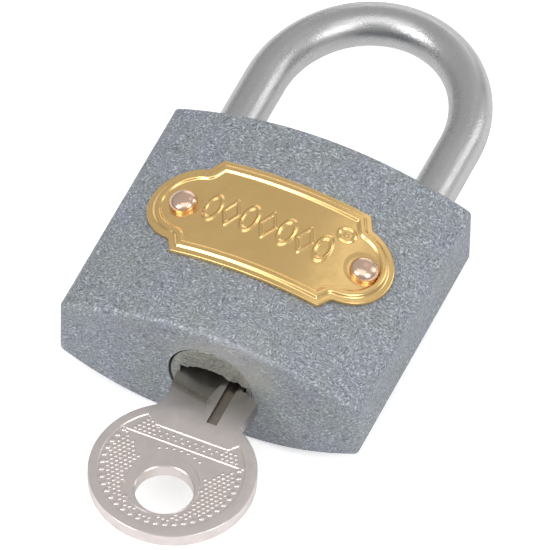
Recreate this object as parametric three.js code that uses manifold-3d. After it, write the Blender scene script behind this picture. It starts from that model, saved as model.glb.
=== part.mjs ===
// A cast-iron pin-tumbler padlock, locked, with its key in the keyway.
// It lies on its back: +Z comes out of the front face, +Y runs from the key to the
// shackle, +X is the long (heel) leg's side. The origin is the middle of the flat
// strip along the back. Millimetres.
import * as THREE from 'three';
import * as BufferGeometryUtils from 'three/addons/utils/BufferGeometryUtils.js';
import Module from 'manifold-3d';

const wasm = await Module();
wasm.setup();

// Body: flat ends and sides, crowned front and back.
const BODY_WIDTH = 38;
const BODY_HEIGHT = 33.15;
const EDGE_THICKNESS = 8.1;
const CROWN = 4.05;
const BACK_FLAT = 4;             // half width of the flat strip along the back
const EDGE_BEVEL = 0.5;
const CROWN_STEPS = 20;

// Shackle: legs this far from the middle, round rod, an elliptical arch.
const LEG_X = 12.5;
const ROD_RADIUS = 2.62;
const ARCH_START = 27.6;
const ARCH_RISE = 14.3;
const TOE_DEPTH = 8.2;           // how deep the short leg sits in the body
const LIFT = 8.7;                // how far the shackle rises when it opens
const NECK_RADIUS = 1.7;         // reduced part of the long leg
const COLLAR_LENGTH = 1.5;       // full-size end under the reduced part

// Cylinder (plug), bolt and key.
const PLUG_X = 0.4;
const PLUG_RADIUS = 5.15;
const PLUG_TOP = 8.9;
const PLUG_GROOVE_FLOOR = 4.0;   // radius at the bottom of the retaining groove
const BOLT_Y = 12.4;
const BOLT_RADIUS = 2.5;
const BOLT_TIP = -10.9;
const BOLT_REAR = 3.4;
const BOLT_CHAMBER_END = 8.9;
const BOLT_HOLE = 2.65;
const NOTCH_LOW = 10.8;          // the toe's notch, along Y
const NOTCH_HIGH = 14.3;
const NOSE_LOW = 12.0;           // the bolt's nose, along Y
const NOSE_HIGH = 14.0;
const NOSE_LENGTH = 1.6;
const POCKET_END = -0.3;         // the bolt's spring pocket, along X
const POCKET_RADIUS = 1.3;
const CRANK_RADIUS = 2.2;        // eccentric pin's distance from the plug's axis
const CRANK_START = 60;          // degrees before the middle of its stroke
const CRANK_PIN_RADIUS = 0.7;
const BLADE_LEFT = -3.2;
const BLADE_RIGHT = 4.6;
const BLADE_THICKNESS = 1.8;
const BOW_X = 2.0;
const BOW_Y = -30.8;
const BOW_RADIUS = 9.8;
const RING_HOLE = { x: 2.35, y: -33.9, radius: 3.43 };
const CUT_STEP = 0.3;            // each cut is this much deeper than the one before
const SLOT_END = 1.6;            // the keyway's inner end
const MOUTH_DEPTH = 3;
// The worn mouth of the keyway: x, and height over the cylinder's axis.
const MOUTH = [
  [-3.4, 0],
  [-2.6, 1.2],
  [-1.2, 1.7],
  [0.4, 2.1],
  [2.0, 2.0],
  [3.0, 1.3],
  [4.2, 1.3],
  [4.9, 0.4],
  [4.9, -0.6],
  [-3.4, -0.6],
];
const SHOULDER_Y = -16.905;      // where the bow's neck meets the cylinder's face
const BLADE_TIP = 1.0;
const KEY_GROOVE = { left: 2.8, right: 4.0, depth: 0.5, end: -22 };

// Pin stacks, square to the key's cut edge.
const PIN_YS = [-13.2, -10.4, -7.6, -4.8, -2.0];
const PIN_RADIUS = 1.05;
const CHAMBER_PLUG_LENGTH = 2.6;

// Badge plate and its rivets.
const PLATE = { halfWidth: 9.45, halfHeight: 7.45, notchX: 10.5, lobeX: 9.65, lobeRadius: 5.7 };
const NOTCH_DRIFT = 0.6;         // how fast the notch moves in when the outline is drawn inset
const PLATE_TURN = -1.3;         // degrees; the plate was riveted on a little askew
const PLATE_Y = 1.0;
const PLATE_THICKNESS = 0.45;
const BEAD_HEIGHT = 0.3;
const BEAD_OUTER = 0.8;          // the bead's two sides, inset from the plate's edge
const BEAD_INNER = 1.5;
const RIVETS = { left: { x: -11.1, y: 1.2 }, right: { x: 11.85, y: 0.85 } };
const RIVET_HEAD = 1.72;
const RIVET_SHANK = 1.0;
const RIVET_DOME = 1.15;         // height of the head
const RIVET_DEPTH = 3.4;         // how far the shank reaches into the body
const RIVET_FLAT = 0.15;         // upright edge under the dome

// Clearances.
const SLIDE_GAP = 0.3;           // round anything that turns or slides
const PRESS_GAP = 0.08;          // round pieces that are driven in

const MID_Z = CROWN + EDGE_THICKNESS / 2;
const FRONT_Z = 2 * CROWN + EDGE_THICKNESS;
const TOP_Y = BODY_HEIGHT / 2;
const BOTTOM_Y = -BODY_HEIGHT / 2;
const HALF_WIDTH = BODY_WIDTH / 2;
const BORE_RADIUS = PLUG_RADIUS + SLIDE_GAP;
const LEG_HOLE = ROD_RADIUS + 0.25;
const TOE_TIP = TOP_Y - TOE_DEPTH;
const PIN_HOLE = PIN_RADIUS + 0.2;
const PLUG_PIN = { x: PLUG_X + 5.0, y: 3.9, radius: 0.7, end: 12.5 };
const SHACKLE_PIN = { x: LEG_X + 2.5, y: 4.0, radius: 0.7, end: 12.5 };
const HEEL_HOLE_END = -13;
const NECK_TOP = SHACKLE_PIN.y + SHACKLE_PIN.radius + SLIDE_GAP;
const NECK_BOTTOM = SHACKLE_PIN.y - SHACKLE_PIN.radius - SLIDE_GAP - LIFT;
const HEEL_TIP = NECK_BOTTOM - COLLAR_LENGTH;

const padlock = new THREE.Group();
padlock.name = 'padlock';

const FINISH = {
  castIron: { color: '#6f7a83', roughness: 0.55, metalness: 0.5 },
  plating: { color: '#d4d2cc', roughness: 0.22, metalness: 1.0 },
  keyNickel: { color: '#b3aea7', roughness: 0.35, metalness: 1.0 },
  brass: { color: '#cf9f3f', roughness: 0.3, metalness: 1.0 },
  copper: { color: '#d08a5f', roughness: 0.25, metalness: 1.0 },
  zinc: { color: '#7d8384', roughness: 0.5, metalness: 0.8 },
  steel: { color: '#9a9a98', roughness: 0.35, metalness: 1.0 },
};

// Solids and cutters ------------------------------------------------------------

function toSolid(geometry) {
  const bare = geometry.clone();
  bare.deleteAttribute('normal');
  bare.deleteAttribute('uv');
  const merged = BufferGeometryUtils.mergeVertices(bare, 1e-4);
  const vertProperties = new Float32Array(merged.attributes.position.array);
  const triVerts = new Uint32Array(merged.index.array);
  return new wasm.Manifold(new wasm.Mesh({ numProp: 3, vertProperties, triVerts }));
}

function toGeometry(solid) {
  const mesh = solid.getMesh();
  const geometry = new THREE.BufferGeometry();
  geometry.setAttribute('position', new THREE.BufferAttribute(mesh.vertProperties, 3));
  geometry.setIndex(new THREE.BufferAttribute(mesh.triVerts, 1));
  geometry.computeVertexNormals();
  return geometry;
}

function addPiece(name, shape, finish) {
  const geometry = shape.isBufferGeometry ? shape : toGeometry(shape);
  const material = new THREE.MeshStandardMaterial(FINISH[finish]);
  const mesh = new THREE.Mesh(geometry, material);
  mesh.name = name;
  padlock.add(mesh);
}

// A round bar from one point to another.
function bar(from, to, radius, sides = 32) {
  const start = new THREE.Vector3(...from);
  const along = new THREE.Vector3(...to).sub(start);
  const geometry = new THREE.CylinderGeometry(radius, radius, along.length(), sides);
  geometry.translate(0, along.length() / 2, 0);
  const turn = new THREE.Quaternion().setFromUnitVectors(new THREE.Vector3(0, 1, 0), along.normalize());
  geometry.applyQuaternion(turn);
  geometry.translate(...from);
  return toSolid(geometry);
}

function block(low, high) {
  const size = high.map((value, axis) => value - low[axis]);
  const geometry = new THREE.BoxGeometry(...size);
  geometry.translate(...low.map((value, axis) => value + size[axis] / 2));
  return toSolid(geometry);
}

// A flat outline in X and Y, made solid between two heights.
function slab(outline, lowZ, highZ, curveSegments = 24) {
  const options = { depth: highZ - lowZ, bevelEnabled: false, curveSegments };
  const geometry = new THREE.ExtrudeGeometry(outline, options);
  geometry.translate(0, 0, lowZ);
  return toSolid(geometry);
}

// A turned solid on the Y axis from [radius, y] pairs that start and end on the axis.
function turned(profile, sides = 32) {
  const points = profile.map(([radius, y]) => new THREE.Vector2(radius, y));
  return toSolid(new THREE.LatheGeometry(points, sides));
}

// A coil of round wire along +X from the origin.
class CoilCurve extends THREE.Curve {
  constructor(radius, length, turns) {
    super();
    this.radius = radius;
    this.length = length;
    this.turns = turns;
  }

  getPoint(t, target = new THREE.Vector3()) {
    const angle = 2 * Math.PI * this.turns * t;
    const y = this.radius * Math.cos(angle);
    const z = this.radius * Math.sin(angle);
    return target.set(this.length * t, y, z);
  }
}

function coil(radius, wireRadius, length, turns, stepsPerTurn, sides) {
  const section = new THREE.Shape();
  section.absarc(0, 0, wireRadius, 0, 2 * Math.PI, false);
  const options = {
    steps: turns * stepsPerTurn,
    curveSegments: sides,
    extrudePath: new CoilCurve(radius, length - 2 * wireRadius, turns),
  };
  return toSolid(new THREE.ExtrudeGeometry(section, options)).translate([wireRadius, 0, 0]);
}

// Body ----------------------------------------------------------------------------

function frontHeight(x) {
  return FRONT_Z - CROWN * (x / HALF_WIDTH) ** 2;
}

function backHeight(x) {
  const run = Math.max(Math.abs(x) - BACK_FLAT, 0) / (HALF_WIDTH - BACK_FLAT);
  return CROWN * run ** 2;
}

function sectionX(step, steps) {
  return HALF_WIDTH * (2 * step / steps - 1);
}

// The end view of the body, wider than tall, crowned on both faces.
function bodySection() {
  const outline = new THREE.Shape();
  outline.moveTo(-HALF_WIDTH, backHeight(-HALF_WIDTH));
  const sideSteps = CROWN_STEPS / 2;
  for (let step = sideSteps - 1; step >= 0; step -= 1) {
    const x = -BACK_FLAT - (HALF_WIDTH - BACK_FLAT) * step / sideSteps;
    outline.lineTo(x, backHeight(x));
  }
  for (let step = 0; step <= sideSteps; step += 1) {
    const x = BACK_FLAT + (HALF_WIDTH - BACK_FLAT) * step / sideSteps;
    outline.lineTo(x, backHeight(x));
  }
  for (let step = CROWN_STEPS; step > 0; step -= 1) {
    const x = sectionX(step, CROWN_STEPS);
    outline.lineTo(x, frontHeight(x));
  }
  outline.lineTo(-HALF_WIDTH, frontHeight(-HALF_WIDTH));
  return outline;
}

function bodyBlank() {
  const options = {
    depth: BODY_HEIGHT - 2 * EDGE_BEVEL,
    bevelEnabled: true,
    bevelSize: EDGE_BEVEL,
    bevelThickness: EDGE_BEVEL,
    bevelOffset: -EDGE_BEVEL,
    bevelSegments: 2,
  };
  const geometry = new THREE.ExtrudeGeometry(bodySection(), options);
  geometry.rotateX(Math.PI / 2);
  geometry.translate(0, TOP_Y - EDGE_BEVEL, 0);
  return toSolid(geometry);
}

function plugBore() {
  const bore = bar([PLUG_X, BOTTOM_Y - 1, MID_Z], [PLUG_X, PLUG_TOP + SLIDE_GAP, MID_Z], BORE_RADIUS, 40);
  const crankRoom = CRANK_RADIUS + CRANK_PIN_RADIUS + SLIDE_GAP;
  return bore.add(bar([PLUG_X, PLUG_TOP, MID_Z], [PLUG_X, BOLT_Y, MID_Z], crankRoom));
}

function legHoles() {
  const toe = bar([-LEG_X, TOE_TIP - 0.5, MID_Z], [-LEG_X, TOP_Y + 1, MID_Z], LEG_HOLE);
  return toe.add(bar([LEG_X, HEEL_HOLE_END, MID_Z], [LEG_X, TOP_Y + 1, MID_Z], LEG_HOLE));
}

function boltChamber() {
  return bar([-HALF_WIDTH - 1, BOLT_Y, MID_Z], [BOLT_CHAMBER_END, BOLT_Y, MID_Z], BOLT_HOLE);
}

function pinChamber(y) {
  return bar([-HALF_WIDTH - 1, y, MID_Z], [PLUG_X, y, MID_Z], PIN_HOLE, 20);
}

function crossPinHole(pin) {
  return bar([pin.x, pin.y, -1], [pin.x, pin.y, pin.end + 0.2], pin.radius + PRESS_GAP, 20);
}

// Turned along Y, stood up along Z, leaned square to the crown and put in its place.
function onCrown(solid, place) {
  const slope = Math.atan(2 * CROWN * place.x / HALF_WIDTH ** 2) * 180 / Math.PI;
  const standing = solid.rotate([90, 0, 0]).rotate([0, slope, 0]);
  return standing.translate([place.x, place.y, frontHeight(place.x)]);
}

function rivetHole(place, radius, depth) {
  return onCrown(turned([[0, -depth], [radius, -depth], [radius, 2], [0, 2]], 20), place);
}

function makeBody() {
  let body = bodyBlank().subtract(plugBore()).subtract(legHoles()).subtract(boltChamber());
  for (const y of PIN_YS) {
    body = body.subtract(pinChamber(y));
  }
  for (const place of Object.values(RIVETS)) {
    body = body.subtract(rivetHole(place, RIVET_SHANK + 0.1, RIVET_DEPTH + 0.2));
  }
  return body.subtract(crossPinHole(PLUG_PIN)).subtract(crossPinHole(SHACKLE_PIN));
}

// Shackle ---------------------------------------------------------------------------

class ShackleCurve extends THREE.Curve {
  getPoint(t, target = new THREE.Vector3()) {
    const heel = ARCH_START - HEEL_TIP;
    const toe = ARCH_START - TOE_TIP;
    const arch = Math.PI * (LEG_X + ARCH_RISE) / 2;
    const run = t * (heel + arch + toe);
    if (run < heel) {
      return target.set(LEG_X, HEEL_TIP + run, MID_Z);
    }
    if (run > heel + arch) {
      return target.set(-LEG_X, ARCH_START - (run - heel - arch), MID_Z);
    }
    const angle = Math.PI * (run - heel) / arch;
    const y = ARCH_START + ARCH_RISE * Math.sin(angle);
    return target.set(LEG_X * Math.cos(angle), y, MID_Z);
  }
}

// The notch that the bolt enters: a flat floor, and a lower flank sloping outward.
function toeNotch() {
  const floorX = BOLT_TIP - SLIDE_GAP;
  const floorY = NOTCH_LOW;
  const topY = NOTCH_HIGH;
  const outX = -LEG_X + ROD_RADIUS + 1;
  const outline = new THREE.Shape();
  outline.moveTo(floorX, floorY);
  outline.lineTo(outX, floorY - (outX - floorX));
  outline.lineTo(outX, topY);
  outline.lineTo(floorX, topY);
  return slab(outline, MID_Z - 4, MID_Z + 4);
}

function makeShackle() {
  const section = new THREE.Shape();
  section.absarc(0, 0, ROD_RADIUS, 0, 2 * Math.PI, false);
  const options = { steps: 56, curveSegments: 8, extrudePath: new ShackleCurve() };
  const rod = toSolid(new THREE.ExtrudeGeometry(section, options));
  const sleeve = bar([LEG_X, NECK_BOTTOM, MID_Z], [LEG_X, NECK_TOP, MID_Z], ROD_RADIUS + 1);
  const core = bar([LEG_X, NECK_BOTTOM - 1, MID_Z], [LEG_X, NECK_TOP + 1, MID_Z], NECK_RADIUS, 20);
  return rod.subtract(sleeve.subtract(core)).subtract(toeNotch());
}

// Plug, bolt and pins ---------------------------------------------------------------

// The keyway: a slot for the blade, with a wider, worn mouth at the face.
function keyway() {
  const gap = SLIDE_GAP;
  const halfZ = BLADE_THICKNESS / 2 + gap;
  const right = BLADE_RIGHT + gap;
  const slot = block([BLADE_LEFT - gap, BOTTOM_Y - 1, MID_Z - halfZ], [right, SLOT_END, MID_Z + halfZ]);
  const mouth = new THREE.Shape(MOUTH.map(([x, z]) => new THREE.Vector2(x, z)));
  const options = { depth: MOUTH_DEPTH + 1, bevelEnabled: false };
  const geometry = new THREE.ExtrudeGeometry(mouth, options);
  geometry.rotateX(Math.PI / 2);
  geometry.translate(0, BOTTOM_Y + MOUTH_DEPTH, MID_Z);
  return slot.add(toSolid(geometry));
}

function crankPin() {
  const angle = CRANK_START * Math.PI / 180;
  const x = PLUG_X - CRANK_RADIUS * Math.sin(angle);
  const z = MID_Z + CRANK_RADIUS * Math.cos(angle);
  return bar([x, PLUG_TOP - 1, z], [x, BOLT_Y - SLIDE_GAP, z], CRANK_PIN_RADIUS, 20);
}

function makePlug() {
  const grooveFloor = PLUG_GROOVE_FLOOR;
  const grooveHalf = PLUG_PIN.radius + 0.2;
  const profile = [
    [0, BOTTOM_Y],
    [PLUG_RADIUS, BOTTOM_Y],
    [PLUG_RADIUS, PLUG_PIN.y - grooveHalf],
    [grooveFloor, PLUG_PIN.y - grooveHalf],
    [grooveFloor, PLUG_PIN.y + grooveHalf],
    [PLUG_RADIUS, PLUG_PIN.y + grooveHalf],
    [PLUG_RADIUS, PLUG_TOP],
    [0, PLUG_TOP],
  ];
  let plug = turned(profile, 40).translate([PLUG_X, 0, MID_Z]).add(crankPin()).subtract(keyway());
  for (const y of PIN_YS) {
    plug = plug.subtract(bar([-HALF_WIDTH, y, MID_Z], [BLADE_LEFT + 1, y, MID_Z], PIN_HOLE, 20));
  }
  return plug;
}

// A round bolt with a sloped nose, a cross slot for the crank pin and a spring pocket.
function makeBolt() {
  const noseBack = BOLT_TIP + NOSE_LENGTH;
  const slotX = PLUG_X - CRANK_RADIUS * Math.sin(CRANK_START * Math.PI / 180);
  const slotHalf = CRANK_PIN_RADIUS + SLIDE_GAP;
  const outline = new THREE.Shape();
  outline.moveTo(BOLT_TIP, NOSE_LOW);
  outline.lineTo(noseBack, NOSE_LOW - NOSE_LENGTH);
  outline.lineTo(noseBack, BOLT_Y - BOLT_RADIUS - 1);
  outline.lineTo(BOLT_REAR, BOLT_Y - BOLT_RADIUS - 1);
  outline.lineTo(BOLT_REAR, BOLT_Y + BOLT_RADIUS + 1);
  outline.lineTo(noseBack, BOLT_Y + BOLT_RADIUS + 1);
  outline.lineTo(noseBack, NOSE_HIGH);
  outline.lineTo(BOLT_TIP, NOSE_HIGH);
  const blank = bar([BOLT_TIP, BOLT_Y, MID_Z], [BOLT_REAR, BOLT_Y, MID_Z], BOLT_RADIUS);
  const shaped = blank.intersect(slab(outline, MID_Z - 4, MID_Z + 4));
  const slot = block([slotX - slotHalf, BOLT_Y - 4, MID_Z - 4], [slotX + slotHalf, BOLT_Y, MID_Z + 4]);
  const pocket = bar([POCKET_END, BOLT_Y, MID_Z], [BOLT_REAR + 1, BOLT_Y, MID_Z], POCKET_RADIUS, 24);
  return shaped.subtract(slot).subtract(pocket);
}

function cutEdge(index) {
  return BLADE_LEFT + CUT_STEP * (index + 1);
}

// A key pin: flat outer end inside the plug's radius, pointed inner end on the cut.
function makeKeyPin(index) {
  const outer = PLUG_X - PLUG_RADIUS + 0.35;
  const inner = cutEdge(index) - 0.12;
  const length = inner - outer;
  const profile = [[0, 0], [PIN_RADIUS, 0], [PIN_RADIUS, length - 0.5], [0.5, length], [0, length]];
  return turned(profile, 20).rotate([0, 0, -90]).translate([outer, PIN_YS[index], MID_Z]);
}

const DRIVER_INNER = PLUG_X - BORE_RADIUS - 0.2;
const DRIVER_LENGTH = 3.8;
const CHAMBER_PLUG_INNER = -HALF_WIDTH + CHAMBER_PLUG_LENGTH;

function makeDriverPin(y) {
  const outer = DRIVER_INNER - DRIVER_LENGTH;
  return bar([outer, y, MID_Z], [DRIVER_INNER, y, MID_Z], PIN_RADIUS, 20);
}

function makePinSpring(y) {
  const start = CHAMBER_PLUG_INNER + 0.15;
  const length = DRIVER_INNER - DRIVER_LENGTH - 0.15 - start;
  return coil(0.75, 0.2, length, 5, 7, 3).translate([start, y, MID_Z]);
}

function makeChamberPlug(y) {
  return bar([-HALF_WIDTH, y, MID_Z], [CHAMBER_PLUG_INNER, y, MID_Z], PIN_HOLE - PRESS_GAP, 20);
}

// Key -------------------------------------------------------------------------------

// Bow, neck, shoulder and blade, with its cuts in a rising staircase to the tip.
function keyOutline() {
  const ramp = 0.25;
  const outline = new THREE.Shape();
  outline.moveTo(BLADE_RIGHT, BLADE_TIP - 1.2);
  outline.lineTo(BLADE_RIGHT, SHOULDER_Y);
  outline.lineTo(5.2, SHOULDER_Y);
  outline.lineTo(7.0, -17.9);
  outline.lineTo(7.0, -18.5);
  outline.lineTo(6.5, -21.9);
  outline.absarc(BOW_X, BOW_Y, BOW_RADIUS, 1.02, -Math.PI - 0.94, true);
  outline.lineTo(-3.2, -21.4);
  outline.lineTo(-3.1, -20.2);
  outline.lineTo(-3.6, -17.7);
  outline.lineTo(-3.6, SHOULDER_Y);
  outline.lineTo(BLADE_LEFT, SHOULDER_Y);
  for (const [index, y] of PIN_YS.entries()) {
    const stepY = y - 1.4;
    outline.lineTo(cutEdge(index) - CUT_STEP, stepY - ramp);
    outline.lineTo(cutEdge(index), stepY + ramp);
  }
  outline.lineTo(cutEdge(PIN_YS.length - 1), BLADE_TIP - 1.0);
  outline.lineTo(0.6, BLADE_TIP);
  outline.lineTo(2.4, BLADE_TIP);
  return outline;
}

function makeKey() {
  const lowZ = MID_Z - BLADE_THICKNESS / 2;
  const highZ = MID_Z + BLADE_THICKNESS / 2;
  const floorZ = highZ - KEY_GROOVE.depth;
  const { left, right, end } = KEY_GROOVE;
  const groove = block([left, end, floorZ], [right, BLADE_TIP + 1, highZ + 1]);
  const hole = bar([RING_HOLE.x, RING_HOLE.y, 0], [RING_HOLE.x, RING_HOLE.y, FRONT_Z], RING_HOLE.radius, 40);
  return slab(keyOutline(), lowZ, highZ, 30).subtract(groove).subtract(hole);
}

// Badge plate and rivets --------------------------------------------------------------

// A rectangle with slanted shoulders and a round lobe at each end, drawn inset.
function plateOutline(inset) {
  const halfWidth = PLATE.halfWidth - inset;
  const halfHeight = PLATE.halfHeight - inset;
  const radius = PLATE.lobeRadius - inset;
  const notchX = PLATE.notchX - NOTCH_DRIFT * inset;
  const reach = Math.acos((notchX - PLATE.lobeX) / radius);
  const notchY = radius * Math.sin(reach);
  const outline = new THREE.Shape();
  outline.moveTo(-halfWidth, PLATE_Y - halfHeight);
  outline.lineTo(halfWidth, PLATE_Y - halfHeight);
  outline.lineTo(notchX, PLATE_Y - notchY);
  outline.absarc(PLATE.lobeX, PLATE_Y, radius, -reach, reach, false);
  outline.lineTo(notchX, PLATE_Y + notchY);
  outline.lineTo(halfWidth, PLATE_Y + halfHeight);
  outline.lineTo(-halfWidth, PLATE_Y + halfHeight);
  outline.lineTo(-notchX, PLATE_Y + notchY);
  outline.absarc(-PLATE.lobeX, PLATE_Y, radius, Math.PI - reach, Math.PI + reach, false);
  outline.lineTo(-notchX, PLATE_Y - notchY);
  return outline;
}

// A skin of even depth over the front crown, between two distances from it.
function crownSkin(low, high) {
  const reach = 18;
  const outline = new THREE.Shape();
  outline.moveTo(-reach, frontHeight(-reach) + low);
  for (let step = 1; step <= 18; step += 1) {
    const x = reach * (step / 9 - 1);
    outline.lineTo(x, frontHeight(x) + low);
  }
  for (let step = 18; step >= 0; step -= 1) {
    const x = reach * (step / 9 - 1);
    outline.lineTo(x, frontHeight(x) + high);
  }
  const geometry = new THREE.ExtrudeGeometry(outline, { depth: 20, bevelEnabled: false });
  geometry.rotateX(Math.PI / 2);
  geometry.translate(0, 10 + PLATE_Y, 0);
  return toSolid(geometry);
}

function plateBlank(inset, low, high) {
  return slab(plateOutline(inset), low, high, 8).rotate([0, 0, PLATE_TURN]);
}

function makePlate() {
  const low = 10;
  const high = 20;
  const top = PLATE_THICKNESS + PRESS_GAP;
  const sheet = plateBlank(0, low, high).intersect(crownSkin(PRESS_GAP, top));
  const band = plateBlank(BEAD_OUTER, low, high).subtract(plateBlank(BEAD_INNER, low - 1, high + 1));
  let plate = sheet.add(band.intersect(crownSkin(top - 0.1, top + BEAD_HEIGHT)));
  for (const place of Object.values(RIVETS)) {
    plate = plate.subtract(rivetHole(place, RIVET_SHANK + 0.15, 2));
  }
  return plate;
}

// A round-head rivet: a shank down into the body and a domed head on the plate.
function makeRivet(place) {
  const under = PRESS_GAP + PLATE_THICKNESS + 0.12;
  const side = under + RIVET_FLAT;
  const profile = [[0, -RIVET_DEPTH], [RIVET_SHANK, -RIVET_DEPTH], [RIVET_SHANK, under]];
  profile.push([RIVET_HEAD, under], [RIVET_HEAD, side]);
  const steps = 5;
  for (let step = 1; step <= steps; step += 1) {
    const angle = step / steps * Math.PI / 2;
    const radius = step === steps ? 0 : RIVET_HEAD * Math.cos(angle);
    profile.push([radius, side + (RIVET_DOME - RIVET_FLAT) * Math.sin(angle)]);
  }
  return onCrown(turned(profile, 20), place);
}

// Springs and driven pins ---------------------------------------------------------------

function makeShackleSpring() {
  const length = HEEL_TIP - 0.15 - (HEEL_HOLE_END + 0.1);
  const spring = coil(2.05, 0.35, length, 4, 10, 4).rotate([0, 0, 90]);
  return spring.translate([LEG_X, HEEL_HOLE_END + 0.1, MID_Z]);
}

function makeBoltSpring() {
  const start = POCKET_END + 0.1;
  const length = BOLT_CHAMBER_END - 0.1 - start;
  return coil(0.95, 0.2, length, 7, 8, 3).translate([start, BOLT_Y, MID_Z]);
}

function makeCrossPin(pin) {
  return bar([pin.x, pin.y, backHeight(pin.x) + 0.02], [pin.x, pin.y, pin.end], pin.radius, 20);
}

function makeBoltChamberPlug() {
  return bar([-HALF_WIDTH, BOLT_Y, MID_Z], [-HALF_WIDTH + 3, BOLT_Y, MID_Z], BOLT_HOLE - PRESS_GAP);
}

// Assembly --------------------------------------------------------------------------------

addPiece('lock_body', makeBody(), 'castIron');
addPiece('shackle', makeShackle(), 'plating');
addPiece('cylinder_plug', makePlug(), 'zinc');
addPiece('key', makeKey(), 'keyNickel');
addPiece('locking_bolt', makeBolt(), 'steel');
addPiece('bolt_spring', makeBoltSpring(), 'steel');
addPiece('bolt_chamber_plug', makeBoltChamberPlug(), 'castIron');
addPiece('shackle_spring', makeShackleSpring(), 'steel');
addPiece('shackle_retaining_pin', makeCrossPin(SHACKLE_PIN), 'steel');
addPiece('plug_retaining_pin', makeCrossPin(PLUG_PIN), 'steel');
addPiece('badge_plate', makePlate(), 'brass');
addPiece('rivet_left', makeRivet(RIVETS.left), 'copper');
addPiece('rivet_right', makeRivet(RIVETS.right), 'copper');
for (const [index, y] of PIN_YS.entries()) {
  const number = index + 1;
  addPiece(`key_pin_${number}`, makeKeyPin(index), 'brass');
  addPiece(`driver_pin_${number}`, makeDriverPin(y), 'brass');
  addPiece(`pin_spring_${number}`, makePinSpring(y), 'steel');
  addPiece(`chamber_plug_${number}`, makeChamberPlug(y), 'castIron');
}

export default padlock;
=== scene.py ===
import math

import bmesh
import bpy
import numpy as np
from mathutils import Matrix, Vector


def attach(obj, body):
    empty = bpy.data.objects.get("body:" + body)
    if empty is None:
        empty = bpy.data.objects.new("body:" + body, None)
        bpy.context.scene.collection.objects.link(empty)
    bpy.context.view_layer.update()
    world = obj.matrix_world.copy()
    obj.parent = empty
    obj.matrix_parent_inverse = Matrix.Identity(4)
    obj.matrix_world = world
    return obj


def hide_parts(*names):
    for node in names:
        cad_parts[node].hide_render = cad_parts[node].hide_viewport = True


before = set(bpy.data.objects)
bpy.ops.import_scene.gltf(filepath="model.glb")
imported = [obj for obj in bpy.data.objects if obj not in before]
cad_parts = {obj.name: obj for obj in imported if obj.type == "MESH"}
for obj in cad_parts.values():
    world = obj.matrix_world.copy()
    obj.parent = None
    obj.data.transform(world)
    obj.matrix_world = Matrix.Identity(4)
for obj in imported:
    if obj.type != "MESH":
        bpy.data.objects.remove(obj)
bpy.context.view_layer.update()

MM = 0.001

# ----------
# The lock lies on its back on a white table and is seen from its bottom right corner, over
# the key. A long lens far away keeps its sides nearly parallel.
AIM = Vector((0.74, 0.88, 8.4)) * MM
AZIMUTH = math.radians(23.02)
ELEVATION = math.radians(51.01)
ROLL = math.radians(1.425)
CAMERA_DISTANCE = 1.528
LENS = 858.1

camera = bpy.data.objects.new("camera", bpy.data.cameras.new("camera"))
bpy.context.collection.objects.link(camera)
camera.data.lens = LENS
away = Vector((
    math.sin(AZIMUTH) * math.cos(ELEVATION),
    -math.cos(AZIMUTH) * math.cos(ELEVATION),
    math.sin(ELEVATION),
))
aimed = (-away).to_track_quat("-Z", "Y").to_matrix() @ Matrix.Rotation(ROLL, 3, "Z")
camera.matrix_world = Matrix.Translation(AIM + away * CAMERA_DISTANCE) @ aimed.to_4x4()
bpy.context.scene.camera = camera
bpy.context.scene.view_settings.view_transform = "Standard"


def softbox(name, place, width, height, power):
    """A rectangular light at a place in metres, turned to face the lock."""
    light = bpy.data.lights.new(name, "AREA")
    light.shape = "RECTANGLE"
    light.size = width
    light.size_y = height
    light.energy = power
    lamp = bpy.data.objects.new(name, light)
    lamp.location = place
    lamp.rotation_euler = (AIM - Vector(place)).to_track_quat("-Z", "Y").to_euler()
    bpy.context.collection.objects.link(lamp)


softbox("left_softbox", (-0.42, -0.62, 0.66), 0.40, 0.40, 2.9)
softbox("right_softbox", (0.72, -0.25, 0.66), 0.40, 0.40, 2.1)
softbox("top_softbox", (0.10, -0.30, 1.00), 1.00, 0.70, 2.2)
softbox("back_softbox", (0.14, 0.60, 0.80), 0.24, 0.24, 0.08)
softbox("shackle_softbox", (0.66, 0.62, 0.42), 0.30, 0.50, 0.9)
softbox("rim_softbox", (-0.15, 0.95, 0.24), 0.70, 0.22, 0.7)

# A pale room, darker near the floor; seen directly, it is plain white.
ROOM_FRONT = 0.52
ROOM_BACK = 0.57
ROOM_LOW = 0.55
RAMPS = (("Y", -0.4, 0.6, ROOM_FRONT, ROOM_BACK), ("Z", 0.0, 0.5, ROOM_LOW, 1.0))


def node(tree, kind, inputs=None, **settings):
    """A shader node of a kind, with its settings and the values or links of its inputs."""
    made = tree.nodes.new(kind)
    for key, value in settings.items():
        setattr(made, key, value)
    for key, value in (inputs or {}).items():
        if isinstance(value, bpy.types.NodeSocket):
            tree.links.new(value, made.inputs[key])
        else:
            made.inputs[key].default_value = value
    return made


def math_node(tree, operation, first, second=0.0, clamp=False):
    """One sum on two numbers or sockets."""
    made = node(tree, "ShaderNodeMath", {0: first, 1: second}, operation=operation)
    made.use_clamp = clamp
    return made.outputs[0]


def product(tree, first, *others):
    """Numbers or sockets multiplied one after another."""
    for other in others:
        first = math_node(tree, "MULTIPLY", first, other)
    return first


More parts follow.
